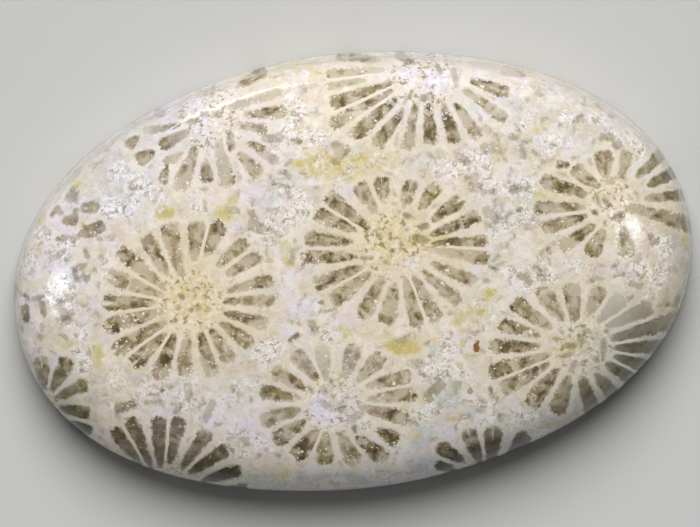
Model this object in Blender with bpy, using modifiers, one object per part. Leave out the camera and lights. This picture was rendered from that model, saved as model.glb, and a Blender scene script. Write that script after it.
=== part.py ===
"""A fossil coral cabochon: one oval stone with a flat back, a low wall and a polished dome.

Metres, +Z up. The stone lies on its flat back at Z = 0, with its long axis along X, and the
origin is the middle of the back.
"""

import math

import bpy
import numpy as np

MM = 0.001

# Driving dimensions
LENGTH = 34.1 * MM
WIDTH = 21.8 * MM
THICKNESS = 5.8 * MM
GIRDLE_HEIGHT = 1.7 * MM  # where the wall ends and the dome begins
WALL_LEAN = 0.12 * MM  # how far the wall leans in on its way up to the dome
BACK_BEVEL = 0.35 * MM  # the small bevel ground round the back
SQUARENESS = 2.10  # exponent of the oval: 2 is an ellipse, more is fuller in its corners
DOME_FULLNESS = 2.8  # exponent of the dome's section, read the same way
# Unevenness left by grinding the oval by hand: (waves round the edge, height, turn of the first)
GRINDING_WAVES = (
    (3, 0.055 * MM, math.radians(-23)),
    (4, 0.055 * MM, math.radians(4)),
    (5, 0.017 * MM, math.radians(-14)),
    (6, 0.018 * MM, math.radians(-28)),
)

# Fineness of the faceted solid
STEPS_ROUND = 96
STEPS_UP_DOME = 18
STEPS_UP_WALL = 2
MERGE_DISTANCE = 0.001 * MM

NAME = "fossil_coral_cabochon"
STONE_COLOUR = (0.56, 0.51, 0.42, 1.0)
STONE_ROUGHNESS = 0.12

HALF_LENGTH = LENGTH / 2
HALF_WIDTH = WIDTH / 2


def clear_scene():
    for obj in list(bpy.data.objects):
        bpy.data.objects.remove(obj, do_unlink=True)


def stone_material():
    material = bpy.data.materials.new("polished_coral")
    material.use_nodes = True
    shader = material.node_tree.nodes["Principled BSDF"]
    shader.inputs["Base Color"].default_value = STONE_COLOUR
    shader.inputs["Roughness"].default_value = STONE_ROUGHNESS
    shader.inputs["Metallic"].default_value = 0.0
    return material


def half_section():
    """(x, z) points down the outer side of the stone's cross-section, from the dome's top to the back's middle."""
    shoulder = HALF_WIDTH - WALL_LEAN
    rise = THICKNESS - GIRDLE_HEIGHT
    points = [(0.0, THICKNESS)]
    for step in range(1, STEPS_UP_DOME + 1):
        turn = math.pi / 2 * step / STEPS_UP_DOME
        across = math.sin(turn) ** (2 / DOME_FULLNESS)
        up = math.cos(turn) ** (2 / DOME_FULLNESS) if step < STEPS_UP_DOME else 0.0
        points.append((shoulder * across, GIRDLE_HEIGHT + rise * up))
    for step in range(1, STEPS_UP_WALL + 1):
        part = step / STEPS_UP_WALL
        height = GIRDLE_HEIGHT + (BACK_BEVEL - GIRDLE_HEIGHT) * part
        points.append((shoulder + WALL_LEAN * part, height))
    points.append((HALF_WIDTH - BACK_BEVEL, 0.0))
    points.append((0.0, 0.0))
    return points


def turned_blank():
    """The half section turned into a round blank, as wide as the stone."""
    profile = bpy.data.meshes.new("half_section")
    points = [(x, 0.0, z) for x, z in half_section()]
    edges = [(index, index + 1) for index in range(len(points) - 1)]
    profile.from_pydata(points, edges, [])
    blank = bpy.data.objects.new("round_blank", profile)
    bpy.context.scene.collection.objects.link(blank)
    screw = blank.modifiers.new("turn", "SCREW")
    screw.axis = "Z"
    screw.angle = math.tau
    screw.steps = STEPS_ROUND
    screw.render_steps = STEPS_ROUND
    screw.use_merge_vertices = True
    screw.merge_threshold = MERGE_DISTANCE
    return blank


def edge_radius(angle):
    """How far the oval's edge is from its middle, in each direction, grinding waves included."""
    along = np.abs(np.cos(angle)) / HALF_LENGTH
    across = np.abs(np.sin(angle)) / HALF_WIDTH
    radius = (along**SQUARENESS + across**SQUARENESS) ** (-1 / SQUARENESS)
    for waves, height, turn in GRINDING_WAVES:
        radius = radius + height * np.cos(waves * (angle - turn))
    return radius


def drawn_out_to_oval(points):
    """The blank's points moved out to the oval. The dome stretches, and the wall and bevel keep their slope."""
    angle = np.arctan2(points[:, 1], points[:, 0])
    reach = np.hypot(points[:, 0], points[:, 1])
    height = points[:, 2]
    edge = edge_radius(angle)
    shoulder = HALF_WIDTH - WALL_LEAN
    on_dome = reach / shoulder * (edge - WALL_LEAN)
    on_wall = np.where(reach > MERGE_DISTANCE, edge - (HALF_WIDTH - reach), 0.0)
    reach = np.where(height > GIRDLE_HEIGHT, on_dome, on_wall)
    oval = np.stack([reach * np.cos(angle), reach * np.sin(angle), height], axis=1)
    middle = (oval.max(axis=0) + oval.min(axis=0)) / 2
    size = np.ptp(oval, axis=0)
    oval[:, 0] = (oval[:, 0] - middle[0]) * LENGTH / size[0]
    oval[:, 1] = (oval[:, 1] - middle[1]) * WIDTH / size[1]
    return oval


def cut_stone(material):
    blank = turned_blank()
    graph = bpy.context.evaluated_depsgraph_get()
    mesh = bpy.data.meshes.new_from_object(blank.evaluated_get(graph))
    bpy.data.objects.remove(blank, do_unlink=True)
    points = np.empty(len(mesh.vertices) * 3)
    mesh.vertices.foreach_get("co", points)
    mesh.vertices.foreach_set("co", drawn_out_to_oval(points.reshape(-1, 3)).ravel())
    mesh.name = NAME
    mesh.materials.append(material)
    mesh.shade_smooth()
    mesh.set_sharp_from_angle(angle=math.radians(30))
    mesh.update()
    return bpy.data.objects.new(NAME, mesh)


def main():
    clear_scene()
    stone = cut_stone(stone_material())
    collection = bpy.data.collections.new("fossil_coral")
    bpy.context.scene.collection.children.link(collection)
    collection.objects.link(stone)


main()
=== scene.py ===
# %% [markdown]
# # A fossil coral cabochon
#
# The object is one small oval stone, cut and polished from a piece of a coral colony that
# turned to stone. Every animal of the colony sat in a round cup, and thin walls, the septa,
# ran out from the middle of the cup like the spokes of a wheel. Cut across, each cup shows as
# a flower: pale septa, with dark see-through mineral in the chambers between them.
#
# This script gives the stone its looks. The stone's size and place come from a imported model,
# which is loaded first and is never moved.

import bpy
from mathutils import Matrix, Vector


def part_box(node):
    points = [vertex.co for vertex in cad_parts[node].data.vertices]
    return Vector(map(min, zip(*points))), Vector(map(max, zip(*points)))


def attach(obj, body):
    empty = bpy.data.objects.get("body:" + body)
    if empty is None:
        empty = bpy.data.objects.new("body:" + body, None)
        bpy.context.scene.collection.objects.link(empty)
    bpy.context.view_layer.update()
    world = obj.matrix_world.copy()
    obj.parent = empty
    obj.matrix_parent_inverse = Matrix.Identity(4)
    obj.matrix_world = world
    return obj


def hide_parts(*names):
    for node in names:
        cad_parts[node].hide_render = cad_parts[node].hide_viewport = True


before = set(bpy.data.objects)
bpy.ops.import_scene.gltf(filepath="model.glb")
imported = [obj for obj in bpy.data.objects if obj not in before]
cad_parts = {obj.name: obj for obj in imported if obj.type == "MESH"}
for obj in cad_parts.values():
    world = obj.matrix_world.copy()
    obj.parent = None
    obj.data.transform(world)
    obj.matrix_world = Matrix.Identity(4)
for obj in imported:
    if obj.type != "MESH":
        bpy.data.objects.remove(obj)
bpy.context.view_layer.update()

# %% [markdown]
# ## Sizes
#
# The stone's length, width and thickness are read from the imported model, so that the two
# always agree. The shape of its section is repeated here by its own few numbers: a low wall,
# a small bevel round the back and a dome whose section is a little fuller than an ellipse.

# %% The stone's sizes
import math

import bpy
import numpy as np
from mathutils import Matrix, Vector

MM = 0.001
NODE = "fossil_coral_cabochon"
lowest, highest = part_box(NODE)
LENGTH, WIDTH, THICKNESS = (highest[axis] - lowest[axis] for axis in range(3))
HALF_LENGTH = LENGTH / 2
HALF_WIDTH = WIDTH / 2
GIRDLE_HEIGHT = 1.7 * MM  # where the wall ends and the dome begins
WALL_LEAN = 0.12 * MM  # how far the wall leans in on its way up to the dome
BACK_BEVEL = 0.35 * MM  # the small bevel ground round the back
SQUARENESS = 2.10  # exponent of the oval: 2 is an ellipse, more is fuller in its corners
DOME_FULLNESS = 2.8  # exponent of the dome's section, read the same way
# Unevenness left by grinding the oval by hand: (waves round the edge, height, turn of the first)
# The heights and turns come from a fit to the stone's outline, rounded.
GRINDING_WAVES = (
    (3, 0.055 * MM, math.radians(-23)),
    (4, 0.055 * MM, math.radians(4)),
    (5, 0.017 * MM, math.radians(-14)),
    (6, 0.018 * MM, math.radians(-28)),
)
print(f"stone {LENGTH / MM:.1f} x {WIDTH / MM:.1f} x {THICKNESS / MM:.1f} mm")

# %% [markdown]
# ## How the coral lies in the stone
#
# The stonecutter sawed the colony almost straight across, so the cups lean only a little, and
# each one runs right through the stone as a column. A sheet of squared paper, held square to
# the columns, is all it takes to lay them out: what is drawn on the sheet is carried down along
# the columns to the dome, the wall and the back. The stone's long axis is turned a little on
# the sheet.

# %% The sheet's directions
LEAN = math.radians(7.0)  # of the columns, from straight up
TURN = math.radians(8.2)  # of the stone's long axis on the sheet
SHEET_RIGHT = Vector((math.cos(TURN), -math.sin(TURN), 0.0))
SHEET_UP = Vector(
    (math.sin(TURN) * math.cos(LEAN), math.cos(TURN) * math.cos(LEAN), -math.sin(LEAN))
)
ALONG_COLUMNS = SHEET_RIGHT.cross(SHEET_UP)
SQUARE = 0.05 * MM  # one square of the sheet
SHEET_MIDDLE = (352.5, 271.3)  # squares from the sheet's left and top to the stone's middle
MIDDLE_HEIGHT = 1.0 * MM  # of the stone's point under the sheet's middle
print("columns run along", tuple(round(part, 3) for part in ALONG_COLUMNS))

# %% [markdown]
# A point of the stone is found on the sheet by looking along the columns. How high it lies
# along them drops out, and what is left is how far it is to the right and up.


# %% From a point of the stone to squares on the sheet
def on_sheet(points):
    """Squares across and down the sheet, for an array of points in metres."""
    middle = np.array((0.0, 0.0, MIDDLE_HEIGHT))
    across = (points - middle) @ np.array(SHEET_RIGHT) / SQUARE
    up = (points - middle) @ np.array(SHEET_UP) / SQUARE
    return SHEET_MIDDLE[0] + across, SHEET_MIDDLE[1] - up


top_across, top_down = on_sheet(np.array((0.0, 0.0, THICKNESS)))
print(f"the dome's top is {top_across:.0f} squares across and {top_down:.0f} down the sheet")

# %% [markdown]
# ## The camera
#
# A stone like this is looked at square to its pattern, so the camera looks down the columns.
# A long lens from far off keeps the oval free of perspective.

# %% Set up the camera
FRAME_WIDTH = 700  # squares that the view is wide
FRAME_HEIGHT = 527
CAMERA_DISTANCE = 0.8
SENSOR = 36.0

camera_data = bpy.data.cameras.new("camera")
camera_data.sensor_width = SENSOR
camera_data.lens = SENSOR * CAMERA_DISTANCE / (FRAME_WIDTH * SQUARE)
camera_data.clip_start = 0.1
camera_data.clip_end = 10.0
camera = bpy.data.objects.new("camera", camera_data)
bpy.context.scene.collection.objects.link(camera)
aim = Vector((0.0, 0.0, MIDDLE_HEIGHT))
aim += SHEET_RIGHT * (FRAME_WIDTH / 2 - SHEET_MIDDLE[0]) * SQUARE
aim += SHEET_UP * (SHEET_MIDDLE[1] - FRAME_HEIGHT / 2) * SQUARE
turned = Matrix((SHEET_RIGHT, SHEET_UP, ALONG_COLUMNS)).transposed()
camera.matrix_world = (
    Matrix.Translation(aim + ALONG_COLUMNS * CAMERA_DISTANCE) @ turned.to_4x4()
)
bpy.context.scene.camera = camera
print(f"lens {camera_data.lens:.0f} mm")

# %% [markdown]
# ## The stone's body
#
# On the real stone, the saw cut a flat slab, the grinding wheel rounded its outline, and the
# lap domed its top. The mesh is made in the same order. A fine grid is the slab's face, an
# extrusion gives it its thickness, and the grid's square rings of points are then laid out
# as ovals. A grid keeps its squares nearly even all over the dome, where a globe or a lathe
# shape would crowd them at its pole. They have to be small, because the coral's pattern is
# stored in the mesh's points.

# %% Saw the slab
STEPS_LONG = 266
STEPS_SHORT = 170
WALL_STEPS = 6
BEVEL_STEPS = 3


def nothing_selected():
    bpy.ops.object.select_all(action="DESELECT")


def slab():
    """A grid two units wide, extruded down, with its sides cut into rows."""
    nothing_selected()
    bpy.ops.mesh.primitive_grid_add(
        x_subdivisions=STEPS_LONG, y_subdivisions=STEPS_SHORT, size=2, location=(0, 0, 0)
    )
    obj = bpy.context.object
    bpy.ops.object.mode_set(mode="EDIT")
    # Edge mode comes first. Chosen in point mode, the rims' own edges would be cut as well
    bpy.ops.mesh.select_mode(type="EDGE")
    bpy.ops.mesh.select_all(action="SELECT")
    bpy.ops.mesh.extrude_region_move(TRANSFORM_OT_translate={"value": (0, 0, 1)})
    bpy.ops.mesh.select_all(action="DESELECT")
    bpy.ops.object.mode_set(mode="OBJECT")
    mesh = obj.data
    for edge in mesh.edges:
        first, second = (mesh.vertices[index].co.z for index in edge.vertices)
        edge.select = abs(first - second) > 0.5
    bpy.ops.object.mode_set(mode="EDIT")
    bpy.ops.mesh.subdivide(number_cuts=WALL_STEPS + BEVEL_STEPS - 1)
    bpy.ops.mesh.select_all(action="SELECT")
    bpy.ops.mesh.normals_make_consistent(inside=False)
    bpy.ops.object.mode_set(mode="OBJECT")
    return obj


stone = slab()
stone.name = "fossil_coral_stone"
stone.data.name = "fossil_coral_stone"
print(len(stone.data.vertices), "points", len(stone.data.polygons), "faces")

# %% [markdown]
# An oval ground by hand is a little fuller than an ellipse, and never quite even. Its edge and
# the dome's section are each worked out by a formula. A curve drawn by hand could do as much,
# but a formula is bent to another stone by changing one number.

# %% The oval and the dome's section
DOME_SAMPLES = 2001  # points along the section, to measure its length by


def edge_radius(angle):
    """How far the oval's edge is from its middle in each direction, grinding waves included."""
    along = np.abs(np.cos(angle)) / HALF_LENGTH
    across = np.abs(np.sin(angle)) / HALF_WIDTH
    radius = (along**SQUARENESS + across**SQUARENESS) ** (-1 / SQUARENESS)
    for waves, height, turn in GRINDING_WAVES:
        radius = radius + height * np.cos(waves * (angle - turn))
    return radius


def dome_section(turn):
    """How far out and how far up the dome's section is, each from 0 to 1.

    turn is 0 at the dome's top and a quarter turn at its edge.
    """
    out = np.sin(turn) ** (2 / DOME_FULLNESS)
    up = np.clip(np.cos(turn), 0, 1) ** (2 / DOME_FULLNESS)
    return out, up


def evenly_spaced_turn(ring):
    """The turn at which a ring's part (0 to 1) of the way over the dome has been covered."""
    turns = np.linspace(0, math.pi / 2, DOME_SAMPLES)
    out, up = dome_section(turns)
    mean_radius = math.sqrt(HALF_LENGTH * HALF_WIDTH)
    rise = THICKNESS - GIRDLE_HEIGHT
    steps = np.hypot(np.diff(out) * mean_radius, np.diff(up) * rise)
    covered = np.concatenate([[0], np.cumsum(steps)])
    return np.interp(ring, covered / covered[-1], turns)

# %% [markdown]
# The grid's points lie on square rings, one inside the next, and each ring becomes an oval. How
# large the ring is says how far down the dome it lies, in even steps along the dome's section.
# The rows on the slab's sides become the wall and the bevel.

# %% Lay the square rings out as ovals
TOUCHING = 0.001  # a slab point this near to the slab's top or bottom lies on it


def oval_direction(flat):
    """The direction in which a grid point ends up: square rings become ovals, corners and all."""
    x, y = flat[:, 0], flat[:, 1]
    wide = np.abs(x) >= np.abs(y)
    with np.errstate(divide="ignore", invalid="ignore"):
        from_x = math.pi / 4 * np.where(wide, y / x, 0)
        from_y = math.pi / 4 * np.where(wide, 0, x / y)
    circle = np.where(wide, from_x + np.where(x < 0, math.pi, 0), math.pi / 2 - from_y)
    circle = np.where(~wide & (y < 0), -math.pi / 2 - from_y, circle)
    circle = np.nan_to_num(circle)
    return np.arctan2(HALF_WIDTH * np.sin(circle), HALF_LENGTH * np.cos(circle))


def rounded_and_domed(slab_points):
    """The slab's points moved to the stone's surface."""
    direction = oval_direction(slab_points)
    ring = np.abs(slab_points[:, :2]).max(axis=1)
    depth = 1 - slab_points[:, 2]
    edge = edge_radius(direction)
    out, up = dome_section(evenly_spaced_turn(ring))
    dome_reach = out * (edge - WALL_LEAN)
    dome_height = GIRDLE_HEIGHT + up * (THICKNESS - GIRDLE_HEIGHT)
    row = depth * (WALL_STEPS + BEVEL_STEPS)
    down_wall = np.clip(row / WALL_STEPS, 0, 1)
    down_bevel = np.clip((row - WALL_STEPS) / BEVEL_STEPS, 0, 1)
    wall_reach = edge - WALL_LEAN * (1 - down_wall) - BACK_BEVEL * down_bevel
    wall_height = GIRDLE_HEIGHT + (BACK_BEVEL - GIRDLE_HEIGHT) * down_wall
    wall_height = wall_height - BACK_BEVEL * down_bevel
    on_back = depth > 1 - TOUCHING
    on_dome = depth < TOUCHING
    reach = np.where(on_dome, dome_reach, np.where(on_back, ring * wall_reach, wall_reach))
    height = np.where(on_dome, dome_height, np.where(on_back, 0.0, wall_height))
    points = np.stack([reach * np.cos(direction), reach * np.sin(direction), height], axis=1)
    middle = (points.max(axis=0) + points.min(axis=0)) / 2
    size = np.ptp(points, axis=0)
    points[:, 0] = (points[:, 0] - middle[0]) * LENGTH / size[0]
    points[:, 1] = (points[:, 1] - middle[1]) * WIDTH / size[1]
    return points

# %% [markdown]
# The mesh's points are read as one array, moved all at once and written back. Moving them one
# by one would take far longer, and the rest of the script needs the same array again.


# %% Shape the stone
def read_points(mesh):
    """The mesh's points, one row of x, y and z for each."""
    flat = np.empty(len(mesh.vertices) * 3)
    mesh.vertices.foreach_get("co", flat)
    return flat.reshape(-1, 3)


slab_points = read_points(stone.data)
stone_points = rounded_and_domed(slab_points)
stone.data.vertices.foreach_set("co", stone_points.ravel())
stone.data.update()
triangles = sum(len(face.vertices) - 2 for face in stone.data.polygons)
print("points from", stone_points.min(axis=0) / MM, "to", stone_points.max(axis=0) / MM)
print(triangles, "triangles")

# %% [markdown]
# ## The flowers
#
# Each cup of the coral is listed with its middle and its chambers, on the squared sheet. A
# chamber is a thin wedge with round ends, so a few numbers are enough: where it starts, near
# the cup's middle, where it ends, half its width at its wide end, and how dark its filling is at
# the start and at the end, from 0, which is clear, to a little over 1. A last number of 1 marks
# a chamber that a short spike of septum splits at its outer end.
#
# The places were set one by one. Much of the darkness was matched to tones measured on the stone.

# %% The cups and their chambers, in squares
CUPS = {
    "middle": ((393, 245), (
        (425, 248, 487, 259, 6.5, 0.25, 0.65, 0), (431, 244, 485, 241, 5.5, 0.95, 0.6, 0),
        (431, 236, 477, 216, 6.0, 1.05, 0.75, 0), (431, 221, 460, 200, 6.5, 0.85, 0.8, 1),
        (418, 210, 437, 186, 6.5, 0.85, 0.85, 0), (404, 207, 411, 183, 7.5, 0.4, 0.9, 1),
        (384, 203, 381, 179, 7.5, 0.3, 0.9, 1), (376, 214, 359, 186, 7.2, 0.4, 0.8, 0),
        (369, 230, 328, 196, 7.0, 0.65, 0.9, 0), (356, 231, 317, 214, 7.0, 0.85, 0.7, 0),
        (352, 242, 306, 239, 6.8, 0.85, 0.5, 0), (356, 257, 303, 257, 6.8, 1.0, 0.75, 1),
        (363, 267, 315, 285, 7.4, 0.7, 0.65, 1), (370, 272, 333, 301, 8.2, 0.7, 0.55, 0),
        (383, 278, 362, 316, 7.8, 0.45, 0.7, 0), (395, 284, 386, 323, 8.2, 0.6, 0.45, 0),
        (405, 278, 417, 325, 6.8, 0.65, 0.55, 0), (413, 276, 437, 320, 6.8, 0.45, 0.75, 0),
        (422, 271, 459, 303, 6.0, 0.75, 0.6, 0), (431, 264, 474, 282, 6.2, 0.6, 0.55, 0),
    )),
    "left": ((191, 301), (
        (225, 301, 274, 301, 5.8, 0.7, 0.5, 0), (228, 291, 272, 280, 5.6, 0.5, 0.65, 0),
        (226, 276, 259, 256, 6.5, 0.4, 0.7, 0), (218, 266, 246, 242, 6.8, 0.6, 0.65, 0),
        (207, 256, 222, 223, 7.6, 0.7, 0.8, 0), (195, 260, 198, 222, 8.0, 0.65, 0.58, 0),
        (182, 275, 169, 225, 8.2, 0.4, 0.75, 1), (168, 275, 147, 236, 7.4, 0.55, 0.65, 0),
        (166, 289, 122, 251, 7.2, 0.5, 0.8, 0), (164, 296, 111, 276, 7.6, 0.35, 0.65, 1),
        (156, 302, 105, 303, 7.4, 0.75, 0.8, 1), (162, 311, 107, 327, 7.6, 0.65, 0.9, 1),
        (166, 322, 116, 350, 7.4, 0.7, 0.7, 1), (167, 333, 134, 364, 7.2, 0.65, 0.95, 1),
        (174, 335, 160, 378, 8.0, 0.9, 0.8, 1), (188, 335, 185, 374, 7.2, 0.6, 0.5, 0),
        (201, 333, 213, 375, 7.4, 0.65, 0.4, 1), (212, 329, 231, 361, 7.2, 1.0, 0.5, 0),
        (221, 323, 252, 344, 6.8, 0.65, 0.8, 0), (225, 313, 267, 324, 5.8, 1.15, 0.45, 0),
    )),
    "low": ((333, 403), (
        (367, 386, 410, 375, 7.0, 0.6, 0.85, 0), (369, 399, 415, 393, 6.8, 0.55, 0.75, 0),
        (359, 406, 407, 418, 6.8, 0.4, 0.85, 0), (377, 429, 397, 440, 7.4, 0.95, 0.9, 0),
        (357, 437, 385, 459, 7.8, 1.0, 0.85, 0), (340, 433, 356, 463, 8.2, 0.75, 0.65, 1),
        (325, 433, 325, 463, 8.4, 0.45, 0.9, 0), (318, 430, 296, 456, 8.4, 0.7, 0.9, 0),
        (305, 421, 276, 440, 8.0, 0.75, 0.7, 0), (300, 409, 263, 420, 7.2, 0.9, 0.5, 0),
        (300, 398, 261, 391, 6.8, 0.8, 0.75, 0), (304, 387, 274, 370, 7.6, 1.0, 0.5, 0),
        (318, 378, 295, 353, 7.8, 0.75, 0.45, 0), (326, 379, 322, 347, 7.8, 0.45, 0.25, 0),
        (345, 377, 355, 346, 8.2, 0.5, 0.65, 1), (358, 380, 381, 356, 7.8, 0.55, 0.75, 0),
    )),
    "right": ((582, 344), (
        (612, 339, 694, 314, 8.4, 0.35, 0.6, 0), (613, 348, 680, 346, 7.6, 0.4, 0.75, 0),
        (614, 356, 662, 372, 7.4, 0.35, 0.7, 0), (606, 363, 648, 390, 8.0, 0.5, 0.6, 0),
        (596, 374, 624, 408, 8.2, 0.55, 0.7, 0), (581, 377, 597, 424, 9.0, 0.65, 0.75, 0),
        (568, 376, 556, 412, 8.8, 0.45, 0.8, 0), (556, 369, 530, 405, 8.6, 0.85, 0.85, 0),
        (548, 363, 502, 389, 7.4, 0.7, 0.65, 0), (550, 354, 490, 372, 7.2, 0.45, 1.0, 0),
        (540, 347, 490, 345, 6.6, 0.75, 0.95, 0), (538, 336, 500, 324, 6.4, 0.7, 0.85, 0),
        (550, 328, 513, 302, 7.6, 0.45, 0.85, 0), (561, 320, 540, 289, 8.6, 0.4, 0.85, 0),
        (574, 321, 570, 284, 8.6, 0.55, 0.75, 0), (587, 316, 599, 287, 7.8, 0.4, 0.5, 0),
        (598, 322, 622, 297, 8.2, 0.3, 0.25, 0), (606, 326, 650, 307, 8.0, 0.1, 0.5, 0),
    )),
    "high": ((612, 202), (
        (643, 199, 702, 193, 6.0, 0.6, 0.9, 0), (625, 206, 696, 227, 7.4, 0.55, 0.8, 0),
        (621, 229, 626, 256, 8.5, 0.6, 0.7, 0), (603, 229, 589, 254, 8.5, 0.55, 0.75, 0),
        (594, 225, 561, 247, 6.0, 0.8, 0.55, 0), (585, 216, 542, 229, 6.8, 0.95, 0.55, 0),
        (584, 208, 534, 208, 6.2, 0.55, 0.75, 0), (585, 195, 541, 181, 7.0, 1.15, 0.5, 0),
        (597, 188, 572, 168, 7.0, 0.85, 0.35, 0), (572, 167, 557, 165, 3.0, 1.0, 0.75, 0),
        (604, 177, 603, 152, 9.5, 0.4, 0.9, 0), (619, 182, 626, 152, 5.5, 0.45, 0.4, 0),
        (635, 178, 672, 144, 6.2, 0.65, 0.85, 0), (647, 186, 692, 163, 7.0, 0.9, 1.1, 0),
        (612, 216, 621, 218, 5.0, 1.0, 1.0, 0), (589, 213, 596, 213, 3.5, 0.9, 0.9, 0),
    )),
    "top": ((422, 79), (
        (394, 83, 332, 105, 6.0, 0.75, 0.8, 0), (391, 91, 332, 125, 6.0, 0.6, 0.65, 0),
        (396, 100, 353, 137, 7.0, 0.9, 0.5, 0), (403, 111, 376, 146, 6.5, 0.9, 0.7, 0),
        (415, 105, 407, 149, 5.5, 0.9, 0.35, 0), (428, 105, 430, 144, 6.5, 1.15, 0.7, 0),
        (442, 105, 455, 142, 6.0, 0.6, 1.0, 0), (455, 104, 477, 138, 6.0, 0.85, 0.5, 0),
        (463, 90, 504, 120, 5.5, 0.4, 0.75, 0), (470, 82, 507, 93, 6.0, 1.0, 0.9, 0),
        (467, 63, 499, 68, 5.0, 0.2, 0.15, 0), (389, 70, 328, 75, 4.5, 0.25, 0.6, 0),
        (370, 79, 329, 87, 4.0, 0.5, 0.4, 0), (381, 61, 338, 56, 4.5, 0.7, 0.75, 0),
        (414, 65, 397, 54, 4.5, 1.0, 0.4, 0),
    )),
    "top_left": ((212, 119), (
        (182, 126, 144, 131, 4.0, 1.2, 0.1, 0), (190, 131, 162, 147, 6.0, 0.25, 1.05, 0),
        (139, 137, 129, 147, 6.0, 0.5, 0.65, 0), (154, 152, 139, 161, 7.5, 0.9, 0.75, 0),
        (184, 154, 165, 164, 5.0, 0.45, 0.45, 0), (169, 166, 163, 182, 5.0, 0.8, 0.6, 0),
        (196, 148, 181, 190, 8.0, 0.8, 0.35, 0), (206, 160, 208, 181, 6.5, 0.5, 1.2, 0),
        (218, 141, 229, 186, 7.5, 0.25, 0.6, 0), (229, 130, 233, 151, 4.0, 0.85, 0.6, 0),
        (239, 153, 260, 175, 7.0, 0.7, 0.5, 0), (245, 143, 264, 150, 4.0, 0.7, 0.75, 0),
        (233, 124, 267, 131, 4.5, 0.2, 0.75, 0), (245, 116, 285, 112, 6.0, 0.7, 0.7, 0),
        (228, 109, 281, 92, 4.5, 0.4, 0.35, 0), (237, 88, 264, 70, 6.0, 0.6, 0.8, 0),
    )),
    "left_edge": ((47, 398), (
        (44, 388, 42, 358, 7.6, 0.7, 0.65, 1),
        (53, 390, 69, 359, 7.5, 0.8, 0.75, 0), (56, 398, 87, 383, 6.2, 0.75, 0.7, 0),
        (60, 408, 89, 413, 6.5, 1.0, 0.8, 0), (70, 421, 91, 431, 5.0, 1.2, 0.9, 0),
    )),
    "bottom": ((170, 472), (
        (141, 464, 115, 430, 6.0, 0.9, 0.95, 0), (151, 467, 131, 419, 6.6, 0.95, 1.0, 0),
        (161, 466, 159, 418, 7.0, 0.7, 1.1, 0), (170, 463, 180, 418, 6.8, 0.6, 1.1, 0),
        (182, 468, 208, 432, 6.6, 0.75, 0.7, 0), (190, 473, 226, 449, 6.8, 0.9, 0.95, 0),
        (203, 480, 240, 470, 6.4, 1.2, 0.85, 0), (226, 488, 246, 486, 2.5, 1.0, 1.0, 0),
    )),
    "bottom_right": ((484, 465), (
        (464, 461, 438, 446, 6.6, 0.9, 0.9, 0), (480, 462, 467, 430, 7.5, 0.9, 0.65, 1),
        (491, 462, 493, 428, 9.0, 0.9, 0.9, 1),
        (508, 462, 525, 434, 7.8, 1.0, 0.95, 0), (457, 471, 437, 464, 4.8, 1.0, 1.0, 0),
    )),
}
print(len(CUPS), "cups,", sum(len(chambers) for _, chambers in CUPS.values()), "chambers")

# %% [markdown]
# Between the cups lie loose cells of the same dark mineral, most of them a few squares wide.
# Each is a short capsule: two ends, half its width, and how dark it is. The cups' own spongy
# middles have a few wider holes of the same kind, which are listed apart.

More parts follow.
